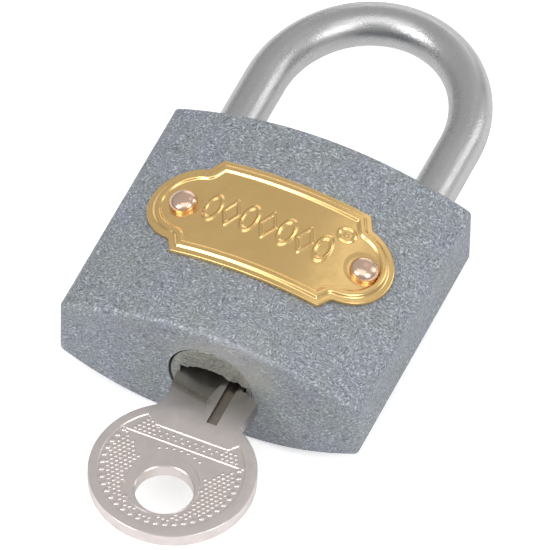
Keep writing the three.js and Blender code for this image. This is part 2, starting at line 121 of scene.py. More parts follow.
world = bpy.data.worlds.new("studio")
bpy.context.scene.world = world
world.use_nodes = True
sky = world.node_tree
room = sky.nodes["Background"]
room.inputs["Color"].default_value = (1.0, 1.0, 1.0, 1.0)
looking = node(sky, "ShaderNodeTexCoord").outputs["Generated"]
looking = node(sky, "ShaderNodeSeparateXYZ", {"Vector": looking}).outputs
steps = []
for axis, *limits in RAMPS:
    ramp = dict(zip(("From Min", "From Max", "To Min", "To Max"), limits))
    ramp["Value"] = looking[axis]
    steps.append(node(sky, "ShaderNodeMapRange", ramp).outputs["Result"])
sky.links.new(product(sky, *steps), room.inputs["Strength"])
seen = node(sky, "ShaderNodeLightPath").outputs["Is Camera Ray"]
backdrop = node(sky, "ShaderNodeBackground", {"Strength": 1.0}).outputs["Background"]
shown = {0: seen, 1: room.outputs["Background"], 2: backdrop}
either = node(sky, "ShaderNodeMixShader", shown).outputs["Shader"]
sky.links.new(either, sky.nodes["World Output"].inputs["Surface"])

# ----------
# Cast-iron body: a block with flat ends and narrow sides, crowned front and back with a
# flat strip down the back, drilled for the cylinder, shackle, bolt and pins. Its hammered
# blue-grey enamel is full of short worm-like glints.
HALF_WIDTH = 19.0
HALF_HEIGHT = 16.575
CROWN = 4.05
MID_Z = 8.1
FRONT_Z = 16.2
BACK_FLAT = 4.0
EDGE_ROUND = 0.75
LEG_X = 12.5
LEG_HOLE = 2.87
TOE_TIP = 8.375
PLUG_X = 0.4
PLUG_RADIUS = 5.15
BORE_RADIUS = 5.31
PLUG_TOP = 8.9
BOLT_Y = 12.4
BOLT_BORE = 2.65
PIN_YS = (-13.2, -10.4, -7.6, -4.8, -2.0)
PIN_HOLE = 1.25
CROSS_PINS = {"plug_retaining_pin": (5.4, 3.9), "shackle_retaining_pin": (15.0, 4.0)}
CROSS_PIN_RADIUS = 0.7
CROSS_PIN_END = 12.5
RIVETS = {"left": (-11.1, 1.2), "right": (11.85, 0.85)}

IRON = (0.295, 0.325, 0.325)
IRON_VIOLET = (0.30, 0.315, 0.375)
# Painted highlight colour for the dash tops, and painted shade colour for the pits between them.
IRON_GLINT = (0.62, 0.675, 0.74)
IRON_PIT_SHADE = (0.125, 0.145, 0.155)
GROUND_IRON = (0.54, 0.545, 0.50)
# Turn and squeeze of each of the three layers of dashes.
DASH_LAYERS = ((0.35, (0.38, 1.0, 1.0)), (-0.5, (1.0, 0.42, 1.0)), (1.1, (0.45, 1.0, 0.8)))
# The patch by the keyhole that was ground bare: its middle and its reach.
GROUND_PLACE = (2.6 * MM, -17.0 * MM, 11.6 * MM)
GROUND_INNER = 0.0044
GROUND_OUTER = 0.0088


def front_height(x):
    """Height of the front crown: a parabola over the width."""
    return FRONT_Z - CROWN * (x / HALF_WIDTH) ** 2


def back_height(x):
    """Height of the back crown: flat in the middle, then a parabola to each side."""
    run = np.maximum(np.abs(x) - BACK_FLAT, 0) / (HALF_WIDTH - BACK_FLAT)
    return CROWN * run ** 2


def rolling(x, y, length, seed, waves=9):
    """A gentle random surface: a sum of sine waves in seeded directions, about 1 high."""
    dice = np.random.default_rng(seed)
    height = np.zeros(np.broadcast(x, y).shape)
    for _ in range(waves):
        turn, phase = dice.uniform(0, 2 * np.pi, 2)
        rate = 2 * np.pi / (length * dice.uniform(0.6, 1.6))
        height += np.sin(rate * (x * np.cos(turn) + y * np.sin(turn)) + phase)
    return height / math.sqrt(waves)


def mesh_piece(name, points, faces):
    """An object from points in millimetres and faces as rows of point numbers."""
    mesh = bpy.data.meshes.new(name)
    mesh.from_pydata((np.asarray(points) * MM).tolist(), [], [list(face) for face in faces])
    piece = bpy.data.objects.new(name, mesh)
    bpy.context.collection.objects.link(piece)
    return piece


def close_up(piece, gap=1e-7):
    """Merges points that meet, drops collapsed faces and turns every face outwards."""
    work = bmesh.new()
    work.from_mesh(piece.data)
    bmesh.ops.remove_doubles(work, verts=work.verts, dist=gap)
    bmesh.ops.dissolve_degenerate(work, edges=work.edges, dist=gap)
    bmesh.ops.recalc_face_normals(work, faces=work.faces)
    work.to_mesh(piece.data)
    work.free()
    return piece


def ring_walls(index):
    """Quads that join each row of a grid of point numbers to the next, and close the rows."""
    here, there = index[:-1], index[1:]
    after, beyond = np.roll(here, -1, axis=1), np.roll(there, -1, axis=1)
    return np.stack([here, after, beyond, there], axis=-1).reshape(-1, 4).tolist()


def ring_piece(name, rings):
    """A closed solid from rings of points, shape (rings, points, 3): quads join each ring to
    the next and each ring to itself, and the first and last ring are collapsed."""
    rings = np.asarray(rings, float)
    index = np.arange(rings.shape[0] * rings.shape[1]).reshape(rings.shape[:2])
    return close_up(mesh_piece(name, rings.reshape(-1, 3), ring_walls(index)))


def turned_piece(name, profile, start, along, sides=48):
    """A turned solid: each (radius, distance) pair is a circle round the line from start
    in the direction along; the profile begins and ends at radius 0."""
    profile = np.asarray(profile, float)
    along = np.asarray(Vector(along).normalized())
    side = np.cross(along, (0.0, 0.0, 1.0) if abs(along[2]) < 0.9 else (1.0, 0.0, 0.0))
    side /= np.linalg.norm(side)
    other = np.cross(along, side)
    angle = np.linspace(0, 2 * np.pi, sides, endpoint=False)
    circle = np.cos(angle)[:, None] * side + np.sin(angle)[:, None] * other
    rings = np.asarray(start) + profile[:, 1, None, None] * along
    return ring_piece(name, rings + profile[:, 0, None, None] * circle)


def drill(radius, start, end, chamfer=0.0, sides=48):
    """A round cutter from start to end, widened to a chamfer 1 before its start."""
    start, end = Vector(start), Vector(end)
    length = (end - start).length
    profile = [(0, -1), (radius + chamfer, -1), (radius + chamfer, 0), (radius, chamfer)]
    profile += [(radius, length), (0, length)]
    return turned_piece("drill", profile, start, end - start, sides)


def outline_normals(outline):
    """Mitred outward normals of a closed outline that runs anticlockwise."""
    edge = np.roll(outline, -1, axis=0) - outline
    normal = np.column_stack([edge[:, 1], -edge[:, 0]]) / np.linalg.norm(edge, axis=1)[:, None]
    joint = normal + np.roll(normal, 1, axis=0)
    return joint / np.maximum((joint * normal).sum(axis=1), 0.4)[:, None]


def layered(name, outline, levels):
    """A solid over a closed outline: at each (height, offset) level the outline is pushed
    out by the offset; the ends are flat caps."""
    outline = np.asarray(outline, float)
    normals = outline_normals(outline)
    count = len(outline)
    rings = [np.column_stack([outline + push * normals, np.full(count, z)]) for z, push in levels]
    index = np.arange(len(levels) * count).reshape(-1, count)
    faces = ring_walls(index) + [index[0, ::-1].tolist(), index[-1].tolist()]
    return close_up(mesh_piece(name, np.vstack(rings), faces))


def apply_modifiers(piece):
    """Replaces a piece's mesh with what its modifiers make of it."""
    graph = bpy.context.evaluated_depsgraph_get()
    mesh = bpy.data.meshes.new_from_object(piece.evaluated_get(graph))
    piece.modifiers.clear()
    piece.data = mesh


def cut_away(piece, cutters):
    """Subtracts each cutter from the piece and throws the cutters away."""
    for cutter in cutters:
        cut = piece.modifiers.new("cut", "BOOLEAN")
        cut.object = cutter
        cut.operation = "DIFFERENCE"
        cut.solver = "EXACT"
    apply_modifiers(piece)
    for cutter in cutters:
        bpy.data.objects.remove(cutter)
    close_up(piece, gap=1e-8)


def smooth(piece, sharp_angle=32):
    """Shades a piece smooth, but keeps edges sharper than an angle in degrees crisp."""
    piece.data.polygons.foreach_set("use_smooth", [True] * len(piece.data.polygons))
    piece.data.set_sharp_from_angle(angle=math.radians(sharp_angle))


def finish_piece(piece, body, slot, material, *nodes):
    """Gives a piece its material, body and the frame nodes it stands for; the slot argument is not
    used.
    """
    piece.data.materials.clear()
    piece.data.materials.append(material)
    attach(piece, body)
    if nodes:
        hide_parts(*nodes)


# Shader helpers and the groups that more than one finish uses.
def noise(tree, vector, scale, detail=2.0, roughness=0.5, distortion=0.0):
    """Noise between 0 and 1 at a number of waves per metre."""
    values = {"Vector": vector, "Scale": scale, "Detail": detail}
    values.update({"Roughness": roughness, "Distortion": distortion})
    return node(tree, "ShaderNodeTexNoise", values).outputs["Fac"]


def total(tree, first, second):
    """The sum of two numbers or sockets."""
    return math_node(tree, "ADD", first, second)


def between(tree, value, low, high, to_low=0.0, to_high=1.0):
    """A value stretched smoothly from one range to another, and held at its ends."""
    values = {"Value": value, "From Min": low, "From Max": high, "To Min": to_low, "To Max": to_high}
    made = node(tree, "ShaderNodeMapRange", values, interpolation_type="SMOOTHSTEP")
    return made.outputs["Result"]


def blend(tree, amount, first, second):
    """A colour part of the way from the first to the second."""
    made = node(tree, "ShaderNodeMix", data_type="RGBA")
    for socket, value in ((made.inputs[0], amount), (made.inputs[6], first), (made.inputs[7], second)):
        if isinstance(value, bpy.types.NodeSocket):
            tree.links.new(value, socket)
        elif isinstance(value, tuple):
            socket.default_value = (*value, 1.0)
        else:
            socket.default_value = value
    return made.outputs[2]


def effect_group(name, inputs, outputs):
    """An empty node group with named number inputs (with their usual values) and outputs."""
    group = bpy.data.node_groups.new(name, "ShaderNodeTree")
    group.interface.new_socket("Vector", in_out="INPUT", socket_type="NodeSocketVector")
    for label, value in inputs.items():
        socket = group.interface.new_socket(label, in_out="INPUT", socket_type="NodeSocketFloat")
        socket.default_value = value
    for label in outputs:
        group.interface.new_socket(label, in_out="OUTPUT", socket_type="NodeSocketFloat")
    return group, group.nodes.new("NodeGroupInput"), group.nodes.new("NodeGroupOutput")


def vector_sum(tree, operation, inputs, result="Vector"):
    """One sum on vectors."""
    return node(tree, "ShaderNodeVectorMath", inputs, operation=operation).outputs[result]


def stretched(tree, place, scale, turn=(0.0, 0.0, 0.0)):
    """Object coordinates turned and stretched, so that a pattern runs one way."""
    made = node(tree, "ShaderNodeMapping", {"Vector": place, "Rotation": turn, "Scale": scale})
    return made.outputs["Vector"]


def build_dashes():
    """Short raised dashes in patches, each patch with its own direction, like hammered
    enamel. Glint marks their tops, for painted highlights, and the second mask marks the pits between
    them, for painted shade."""
    settings, results = {"Rate": 6000.0, "Patch": 420.0}, ("Glint", "PitShade", "Height")
    group, given, result = effect_group("enamel_dashes", settings, results)
    place = given.outputs["Vector"]
    patch = given.outputs["Patch"]
    sway = node(group, "ShaderNodeTexNoise", {"Vector": place, "Scale": patch, "Detail": 1.0})
    pushed = vector_sum(group, "SUBTRACT", {0: sway.outputs["Color"], 1: (0.5, 0.5, 0.5)})
    pushed = vector_sum(group, "SCALE", {0: pushed, "Scale": 0.0016})
    bent = vector_sum(group, "ADD", {0: place, 1: pushed})
    layers = []
    for turn, squeeze in DASH_LAYERS:
        turned = stretched(group, bent, squeeze, (0, 0, turn))
        layers.append(noise(group, turned, given.outputs["Rate"], 1.0, 0.5))
    choice = noise(group, place, product(group, patch, 1.4), 1.0)
    first = between(group, choice, 0.44, 0.5)
    second = between(group, choice, 0.55, 0.61)
    mixed = layers[0]
    for share, layer in ((first, layers[1]), (second, layers[2])):
        step = product(group, share, math_node(group, "SUBTRACT", layer, mixed))
        mixed = total(group, mixed, step)
    # The painted highlight mask on the dash tops, then the painted shade mask in the pits.
    group.links.new(between(group, mixed, 0.52, 0.68), result.inputs["Glint"])
    group.links.new(between(group, mixed, 0.32, 0.46, 1.0, 0.0), result.inputs["PitShade"])
    group.links.new(mixed, result.inputs["Height"])
    return group


def build_patches():
    """Large soft blotches between 0 and 1, some tens of millimetres down to a few."""
    group, given, result = effect_group("soft_patches", {"Rate": 120.0, "Sharpness": 0.25}, ("Mask",))
    cloud = noise(group, given.outputs["Vector"], given.outputs["Rate"], 3.0, 0.6)
    low = math_node(group, "SUBTRACT", 0.5, given.outputs["Sharpness"])
    high = math_node(group, "ADD", 0.5, given.outputs["Sharpness"])
    group.links.new(between(group, cloud, low, high), result.inputs["Mask"])
    return group


def build_scratches():
    """Fine scratches: noise squeezed along one direction, kept only at its peaks. The
    vector is stretched before it comes in, so that the streaks run along its short axis."""
    settings, results = {"Rate": 1000.0, "Amount": 0.4}, ("Mask", "Height")
    group, given, result = effect_group("fine_scratches", settings, results)
    streaks = noise(group, given.outputs["Vector"], given.outputs["Rate"], 2.0, 0.65)
    low = math_node(group, "SUBTRACT", 0.78, product(group, given.outputs["Amount"], 0.3))
    high = total(group, low, 0.12)
    group.links.new(between(group, streaks, low, high), result.inputs["Mask"])
    group.links.new(streaks, result.inputs["Height"])
    return group


enamel_dashes = build_dashes()
soft_patches = build_patches()
fine_scratches = build_scratches()


def place_effect(tree, group, vector, **values):
    """A group in a material's tree with its own values; returns its outputs."""
    made = node(tree, "ShaderNodeGroup", node_tree=group)
    tree.links.new(vector, made.inputs["Vector"])
    for key, value in values.items():
        made.inputs[key].default_value = value
    return made.outputs


def patches(tree, place, rate, sharpness):
    """The mask of the soft patches."""
    return place_effect(tree, soft_patches, place, Rate=rate, Sharpness=sharpness)["Mask"]


def scratches(tree, place, rate, amount, squeeze, turn=(0.0, 0.0, 0.0)):
    """The scratches' mask and height, with the coordinates turned and stretched first."""
    streaks = stretched(tree, place, squeeze, turn)
    return place_effect(tree, fine_scratches, streaks, Rate=rate, Amount=amount)


def new_material(name, metallic, roughness):
    """A material with a Principled shader; returns it, its tree, shader and coordinates."""
    material = bpy.data.materials.new(name)
    material.use_nodes = True
    tree = material.node_tree
    shader = tree.nodes["Principled BSDF"]
    shader.inputs["Metallic"].default_value = metallic
    shader.inputs["Roughness"].default_value = roughness
    place = tree.nodes.new("ShaderNodeTexCoord").outputs["Object"]
    return material, tree, shader, place


def dress(tree, shader, base, rough, height, depth, distance):
    """Feeds a colour, a roughness and the height of a bump to a shader."""
    made = node(tree, "ShaderNodeBump", {"Height": height, "Strength": depth, "Distance": distance})
    for label, socket in (("Base Color", base), ("Roughness", rough), ("Normal", made.outputs[0])):
        tree.links.new(socket, shader.inputs[label])


def away_from(tree, place, centre, scale=(1.0, 1.0, 1.0)):
    """Distance of each point from a centre, in metres, with each axis weighted."""
    moved = vector_sum(tree, "SUBTRACT", {0: place, 1: centre})
    weighed = vector_sum(tree, "MULTIPLY", {0: moved, 1: scale})
    return vector_sum(tree, "LENGTH", {0: weighed}, "Value")


def make_iron_enamel():
    """Hammered enamel over cast iron: grey mottling, light glints painted as highlights on the dashes
    that stand up a little, painted shade in the pits between them, and a patch round the keyhole that
    was ground bare and dulled."""
    material, tree, shader, place = new_material("hammered_iron", 0.3, 0.5)
    dashes = place_effect(tree, enamel_dashes, place, Rate=5800.0, Patch=380.0)
    haze = patches(tree, place, 190.0, 0.22)
    thin = patches(tree, place, 800.0, 0.2)
    base = blend(tree, haze, IRON, IRON_VIOLET)
    along = node(tree, "ShaderNodeSeparateXYZ", {"Vector": place}).outputs["Y"]
    end = between(tree, along, -0.01645, -0.0160, 0.8, 1.0)
    # Painted shade in the pits between the dashes, a little weaker on the end face.
    base = blend(tree, product(tree, dashes["PitShade"], 0.85, end), base, IRON_PIT_SHADE)
    # Painted highlights on the dash tops, in patches and a little weaker on the end face.
    lit = product(tree, dashes["Glint"], between(tree, thin, 0.0, 1.0, 0.45, 1.0), end)
    base = blend(tree, lit, base, IRON_GLINT)
    reach = away_from(tree, place, GROUND_PLACE, (0.75, 0.8, 1.15))
    reach = total(tree, reach, product(tree, noise(tree, place, 700.0, 3.0), 0.004))
    ground = between(tree, reach, GROUND_INNER, GROUND_OUTER, 0.55, 0.0)
    base = blend(tree, ground, base, GROUND_IRON)
    rough = between(tree, dashes["Glint"], 0.0, 1.0, 0.52, 0.36)
    dress(tree, shader, base, rough, dashes["Height"], 0.6, 0.0001)
    return material


iron_enamel = make_iron_enamel()


def body_section():
    """The body's end outline, drawn in by the edge radius, with the outward normals there.
    Corners carry several normals, so that pushing out along them rounds the corner."""
    half = HALF_WIDTH - EDGE_ROUND
    x = half * np.sin(np.linspace(-np.pi / 2, np.pi / 2, 131))
    x = 0.35 * x + 0.65 * np.linspace(-half, half, 131)
    slope = -2 * CROWN * x / HALF_WIDTH ** 2
    steep = np.hypot(1, slope)
    front = np.column_stack([x, front_height(x) - EDGE_ROUND * steep])
    front_out = np.column_stack([-slope, np.ones_like(x)]) / steep[:, None]
    run = np.maximum(np.abs(x) - BACK_FLAT, 0)
    rise = 2 * CROWN * run * np.sign(x) / (HALF_WIDTH - BACK_FLAT) ** 2
    steep = np.hypot(1, rise)
    back = np.column_stack([x, back_height(x) + EDGE_ROUND * steep])
    back_out = np.column_stack([rise, -np.ones_like(x)]) / steep[:, None]

    def corner(point, first, last):
        turn = np.linspace(first, last, 7)[1:-1]
        return np.tile(point, (5, 1)), np.column_stack([np.cos(turn), np.sin(turn)])

    def side(top, bottom, direction):
        z = np.linspace(top[1], bottom[1], 18)[1:-1]
        return np.column_stack([np.full(16, top[0]), z]), np.tile((direction, 0.0), (16, 1))

    lean_front = math.atan2(*front_out[-1][::-1])
    lean_back = math.atan2(*back_out[-1][::-1])
    parts = [
        (front, front_out),
        corner(front[-1], lean_front, 0),
        side(front[-1], back[-1], 1),
        corner(back[-1], 0, lean_back),
        (back[::-1], back_out[::-1]),
        corner(back[0], -np.pi - lean_back, -np.pi),
        side(back[0], front[0], -1),
        corner(front[0], np.pi, np.pi - lean_front),
    ]
    return np.vstack([p for p, _ in parts]), np.vstack([n for _, n in parts])


def make_body():
    """Rings of the end outline along Y, rounded over at both ends and drawn in to the
    middle line there; the crown rolls by a few hundredths of a millimetre."""
    outline, outward = body_section()
    core = np.column_stack([np.clip(outline[:, 0], -15, 15), np.full(len(outline), MID_Z)])
    straight = HALF_HEIGHT - EDGE_ROUND
    rings = []

    def add_ring(points, y):
        rings.append(np.column_stack([points[:, 0], np.full(len(points), y), points[:, 1]]))

    for share in np.linspace(0, 1, 9)[:-1]:
        add_ring(core + share * (outline - core), -HALF_HEIGHT)
    for turn in np.linspace(np.pi / 2, 0, 6):
        y = -straight - EDGE_ROUND * math.sin(turn)
        add_ring(outline + EDGE_ROUND * math.cos(turn) * outward, y)
    for y in np.linspace(-straight, straight, 121)[1:-1]:
        fade = min(1.0, (straight - abs(y)) / 2)
        x = outline[:, 0]
        relief = 0.02 * rolling(x, y, 3.4, 4) + 0.012 * rolling(x, y, 1.3, 5)
        relief = np.where(np.abs(outward[:, 1]) > 0.85, relief * fade, 0.0)
        relief = np.minimum(relief - 0.03, 0) * (outward[:, 1] > 0)
        add_ring(outline + (EDGE_ROUND + relief[:, None]) * outward, y)
    for turn in np.linspace(0, np.pi / 2, 6):
        y = straight + EDGE_ROUND * math.sin(turn)
        add_ring(outline + EDGE_ROUND * math.cos(turn) * outward, y)
    for share in np.linspace(1, 0, 9)[1:]:
        add_ring(core + share * (outline - core), HALF_HEIGHT)
    return ring_piece("lock_casting", rings)


def on_crown(place, depth):
    """A point this far above the crown at a rivet's place, and the direction of its line."""
    x, y = place
    slope = -2 * CROWN * x / HALF_WIDTH ** 2
    out = Vector((-slope, 0, 1)).normalized()
    return Vector((x, y, front_height(x))) + depth * out, out


def body_cutters():
    """The drills for every hole in the body, most with a small chamfer at its mouth."""
    low, high = -HALF_HEIGHT, HALF_HEIGHT
    bore_x, bore_z = PLUG_X - 0.10, MID_Z - 0.06
    drills = [
        drill(BORE_RADIUS, (bore_x, low, bore_z), (bore_x, PLUG_TOP + 0.3, bore_z), 0.03, 96),
        drill(3.2, (PLUG_X, PLUG_TOP, MID_Z), (PLUG_X, BOLT_Y, MID_Z)),
        drill(LEG_HOLE, (-LEG_X, high, MID_Z), (-LEG_X, TOE_TIP - 0.5, MID_Z), 0.25, 64),
        drill(LEG_HOLE, (LEG_X, high, MID_Z), (LEG_X, -13, MID_Z), 0.25, 64),
        drill(BOLT_BORE, (-HALF_WIDTH, BOLT_Y, MID_Z), (8.9, BOLT_Y, MID_Z), 0.06, 64),
    ]
    for y in PIN_YS:
        drills.append(drill(PIN_HOLE, (-HALF_WIDTH, y, MID_Z), (PLUG_X, y, MID_Z), 0.05, 40))
    for x, y in CROSS_PINS.values():
        height = float(back_height(x))
        end = (x, y, CROSS_PIN_END + 0.2)
        drills.append(drill(CROSS_PIN_RADIUS + 0.06, (x, y, height), end, 0.05, 32))
    for place in RIVETS.values():
        start, out = on_crown(place, 0)
        drills.append(drill(1.1, start, start - 3.6 * out, 0.0, 32))
    return drills


casting = make_body()
cut_away(casting, body_cutters())
smooth(casting)
finish_piece(casting, "case", "cast_iron", iron_enamel, "lock_body")

# ----------
# Shackle: a plated round steel rod bent to a tall arch. The long leg has a turned neck that
# the cross pin rides in, and the short leg a notch that the bolt enters.
ROD_RADIUS = 2.62
ARCH_START = 27.6
ARCH_RISE = 14.3
HEEL_TIP = -7.2
NECK = (-5.7, 5.0)
NECK_RADIUS = 1.7
TIP_CHAMFER = 0.4
NOTCH = ((-11.2, 10.8), (-8.88, 8.48), (-8.88, 14.3), (-11.2, 14.3))

NICKEL = (0.555, 0.555, 0.555)
NICKEL_DULL = (0.38, 0.38, 0.378)


def shackle_line(run):
    """Centre and inward normal of the rod after a run from the long leg's end: up the leg,
    round a half ellipse, and down the short leg."""
    heel = ARCH_START - HEEL_TIP
    arch = np.pi * (LEG_X + ARCH_RISE) / 2
    angle = np.clip((run - heel) / arch, 0, 1) * np.pi
    x = LEG_X * np.cos(angle)
    y = ARCH_START + ARCH_RISE * np.sin(angle)
    y = np.where(run > heel + arch, 2 * ARCH_START - HEEL_TIP + arch - run, y)
    y = np.where(run < heel, HEEL_TIP + run, y)
    along = np.column_stack([-LEG_X * np.sin(angle), ARCH_RISE * np.cos(angle)])
    along /= np.linalg.norm(along, axis=1)[:, None]
    return np.column_stack([x, y]), np.column_stack([-along[:, 1], along[:, 0]])


def make_shackle():
    """A circle carried along the shackle's line, narrowed at the neck and the two ends."""
    whole = (ARCH_START - HEEL_TIP) + np.pi * (LEG_X + ARCH_RISE) / 2 + (ARCH_START - TOE_TIP)
    neck_low, neck_high = NECK[0] - HEEL_TIP, NECK[1] - HEEL_TIP
    stops = [(0, 0), (0, ROD_RADIUS - TIP_CHAMFER), (TIP_CHAMFER, ROD_RADIUS), (neck_low, ROD_RADIUS)]
    stops += [(neck_low, NECK_RADIUS), (neck_high, NECK_RADIUS), (neck_high, ROD_RADIUS)]
    stops += [(run, ROD_RADIUS) for run in np.linspace(neck_high + 1, whole - 1, 230)]
    stops += [(whole - TIP_CHAMFER, ROD_RADIUS), (whole, ROD_RADIUS - TIP_CHAMFER), (whole, 0)]
    run, radius = np.array(stops, float).T
    centre, inward = shackle_line(run)
    angle = np.linspace(0, 2 * np.pi, 64, endpoint=False)
    flat = centre[:, None, :] + (radius[:, None] * np.cos(angle))[:, :, None] * inward[:, None, :]
    height = MID_Z + radius[:, None] * np.sin(angle)
    return ring_piece("shackle_rod", np.concatenate([flat, height[:, :, None]], axis=2))


def make_nickel():
    """Satin nickel over drawn steel: a grainy bright skin with long dull draw marks."""
    material, tree, shader, place = new_material("satin_nickel", 1.0, 0.3)
    grain = noise(tree, place, 4600.0, 3.0, 0.65)
    cloud = patches(tree, place, 260.0, 0.3)
    drawn = scratches(tree, place, 2600.0, 0.45, (1.0, 0.12, 1.0))
    dull = product(tree, between(tree, grain, 0.35, 0.75), 0.35)
    dull = math_node(tree, "ADD", dull, product(tree, drawn["Mask"], 0.35), clamp=True)
    base = blend(tree, dull, NICKEL, NICKEL_DULL)
    rough = total(tree, between(tree, cloud, 0.0, 1.0, 0.24, 0.33), product(tree, dull, 0.16))
    height = total(tree, grain, product(tree, drawn["Height"], 0.5))
    dress(tree, shader, base, rough, height, 0.5, 0.00006)
    return material


satin_nickel = make_nickel()
rod = make_shackle()
cut_away(rod, [layered("notch", NOTCH, [(MID_Z - 4, 0), (MID_Z + 4, 0)])])
smooth(rod)
finish_piece(rod, "shackle", "plated_steel", satin_nickel, "shackle")

# ----------
# Cylinder: a turned plug, slotted for the key's blade and cross-drilled for the pins. Its
# face was ground flush with the body; the mouth of the keyway is worn and ragged.
GROOVE = (3.0, 4.8, 4.0)
CRANK_RADIUS = 2.2
CRANK_PIN_RADIUS = 0.7
SLOT_X = (-3.5, 4.9)
SLOT_HALF = 1.2
SLOT_END = 1.6
MOUTH_DEPTH = 3.0
MOUTH = (
    (-3.4, 0.0), (-3.2, 0.9), (-2.5, 1.2), (-2.2, 1.55), (-1.2, 1.95), (0.4, 2.1), (1.9, 1.95),
    (2.7, 1.45), (3.9, 1.6), (4.7, 1.1), (4.95, 0.3), (4.95, -0.7), (-3.4, -0.7),
)
MOUTH_ROUGH = 0.11
MOUTH_STEP = 0.22
CRANK_TURN = math.radians(60)

ZINC = (0.25, 0.275, 0.27)
ZINC_YELLOW = (0.34, 0.34, 0.29)
# Painted shade for the dash pits, and painted highlight for the dash tops, which is also the colour of
# the grinding marks.
ZINC_PIT_SHADE = (0.10, 0.11, 0.105)
ZINC_GLINT_AND_MARKS = (0.55, 0.55, 0.49)


def ragged(outline, depth, step, seed):
    """An outline with points added every step along its edges and moved a little at random."""
    corners = np.asarray(outline, float)
    after = np.roll(corners, -1, axis=0)
    counts = [max(2, int(np.hypot(*(b - a)) / step)) for a, b in zip(corners, after)]
    runs = zip(corners, after, counts)
    points = np.vstack([np.linspace(a, b, count, endpoint=False) for a, b, count in runs])
    return points + np.random.default_rng(seed).uniform(-depth, depth, points.shape)


def along_y(piece, y):
    """Lays a piece drawn in X and Y, and extruded up Z, down along Y instead, at MID_Z."""
    laid = Matrix.Rotation(math.pi / 2, 4, "X")
    piece.data.transform(Matrix.Translation((0, y * MM, MID_Z * MM)) @ laid)
    return piece


def make_plug():
    """The turned blank with its retaining groove and edge chamfer, then slotted and drilled."""
    low, high, floor = GROOVE
    edge = 0.15
    low, high, top = (y + HALF_HEIGHT for y in (low, high, PLUG_TOP))
    profile = [(0, 0), (PLUG_RADIUS - edge, 0), (PLUG_RADIUS, edge), (PLUG_RADIUS, low)]
    profile += [(floor, low), (floor, high), (PLUG_RADIUS, high), (PLUG_RADIUS, top), (0, top)]
    blank = turned_piece("cylinder", profile, (PLUG_X, -HALF_HEIGHT, MID_Z), (0, 1, 0), 96)
    slot = ((SLOT_X[0], -20), (SLOT_X[1], -20), (SLOT_X[1], SLOT_END), (SLOT_X[0], SLOT_END))
    cutters = [layered("slot", slot, [(MID_Z - SLOT_HALF, 0), (MID_Z + SLOT_HALF, 0)])]
    outline = ragged(MOUTH, MOUTH_ROUGH, MOUTH_STEP, 8)
    mouth = layered("mouth", outline, [(0, 0), (1 + MOUTH_DEPTH, 0)])
    cutters.append(along_y(mouth, MOUTH_DEPTH - HALF_HEIGHT))
    for y in PIN_YS:
        cutters.append(drill(PIN_HOLE, (-6, y, MID_Z), (-2.2, y, MID_Z), 0.0, 40))
    cut_away(blank, cutters)
    return blank


def make_crank():
    """The eccentric pin that drives the bolt."""
    x = PLUG_X - CRANK_RADIUS * math.sin(CRANK_TURN)
    start = (x, PLUG_TOP, MID_Z + CRANK_RADIUS * math.cos(CRANK_TURN))
    length = BOLT_Y - 0.3 - PLUG_TOP
    radius = CRANK_PIN_RADIUS
    profile = [(0, 0), (radius, 0), (radius, length - 0.15), (radius - 0.15, length), (0, length)]
    return turned_piece("crank_pin", profile, start, (0, 1, 0), 32)


def make_ground_zinc():
    """Grey die-cast zinc with a ground face: arcs of fine grinding marks and dull patches, with
    painted highlights on the hammered dash tops and painted shade in the pits between them.
    """
    material, tree, shader, place = new_material("ground_zinc", 0.5, 0.45)
    dashes = place_effect(tree, enamel_dashes, place, Rate=5800.0, Patch=600.0)
    marks = scratches(tree, place, 2400.0, 0.55, (0.25, 1.0, 1.2), (0, 0.35, 0))
    cloud = patches(tree, place, 520.0, 0.2)
    base = blend(tree, cloud, ZINC, ZINC_YELLOW)
    # Painted shade in the pits between the dashes, painted highlights on their tops, and pale grinding
    # marks.
    base = blend(tree, product(tree, dashes["PitShade"], 0.7), base, ZINC_PIT_SHADE)
    base = blend(tree, product(tree, dashes["Glint"], 0.5), base, ZINC_GLINT_AND_MARKS)
    base = blend(tree, product(tree, marks["Mask"], 0.35), base, ZINC_GLINT_AND_MARKS)
    rough = between(tree, cloud, 0.0, 1.0, 0.38, 0.52)
    height = total(tree, marks["Height"], dashes["Height"])
    dress(tree, shader, base, rough, height, 0.4, 0.0001)
    return material


ground_zinc = make_ground_zinc()
plug = make_plug()
smooth(plug)
finish_piece(plug, "cylinder", "zinc_alloy", ground_zinc, "cylinder_plug")
crank = make_crank()
smooth(crank)
finish_piece(crank, "cylinder", "zinc_alloy", ground_zinc, "cylinder_plug")

# ----------
# Key: a nickel-plated stamped blank. The bow is coined on both faces: a flat rim and a flat
# ring round the hole stand up, and the sunk field between holds rows of dots and a ring of
# beads. The blade is milled with a groove and cut in steps on one edge.
KEY_HALF = 0.9
BOW = (2.0, -30.8, 9.8)
RING_HOLE = (2.35, -33.9, 3.43)
RING_LAND = (1.8, -33.3, 4.35)
COINED = (1.8, -30.8, 8.5)
COINED_DEPTH = 0.12
BEADS = (1.75, -30.8, 7.95)
BEAD_COUNT = 46
BAND = (-27.35, -25.55)
BAND_INSET = (2.3, 1.9)
BLADE_LEFT = -3.2
BLADE_RIGHT = 4.6
CUT_STEP = 0.3
SHOULDER_Y = -16.905
BLADE_TIP = 1.0
GROOVE_X = (2.65, 3.95)
GROOVE_END = -22.85
# The milling wheel that ran out across the neck: radius, width, depth, start and axis.
WHEEL = 12.0
WHEEL_WIDE = 6.6
WHEEL_DEEP = 0.36
WHEEL_START = (-4.6, -15.9)
WHEEL_AXIS = (6.2, -1.15, 0)
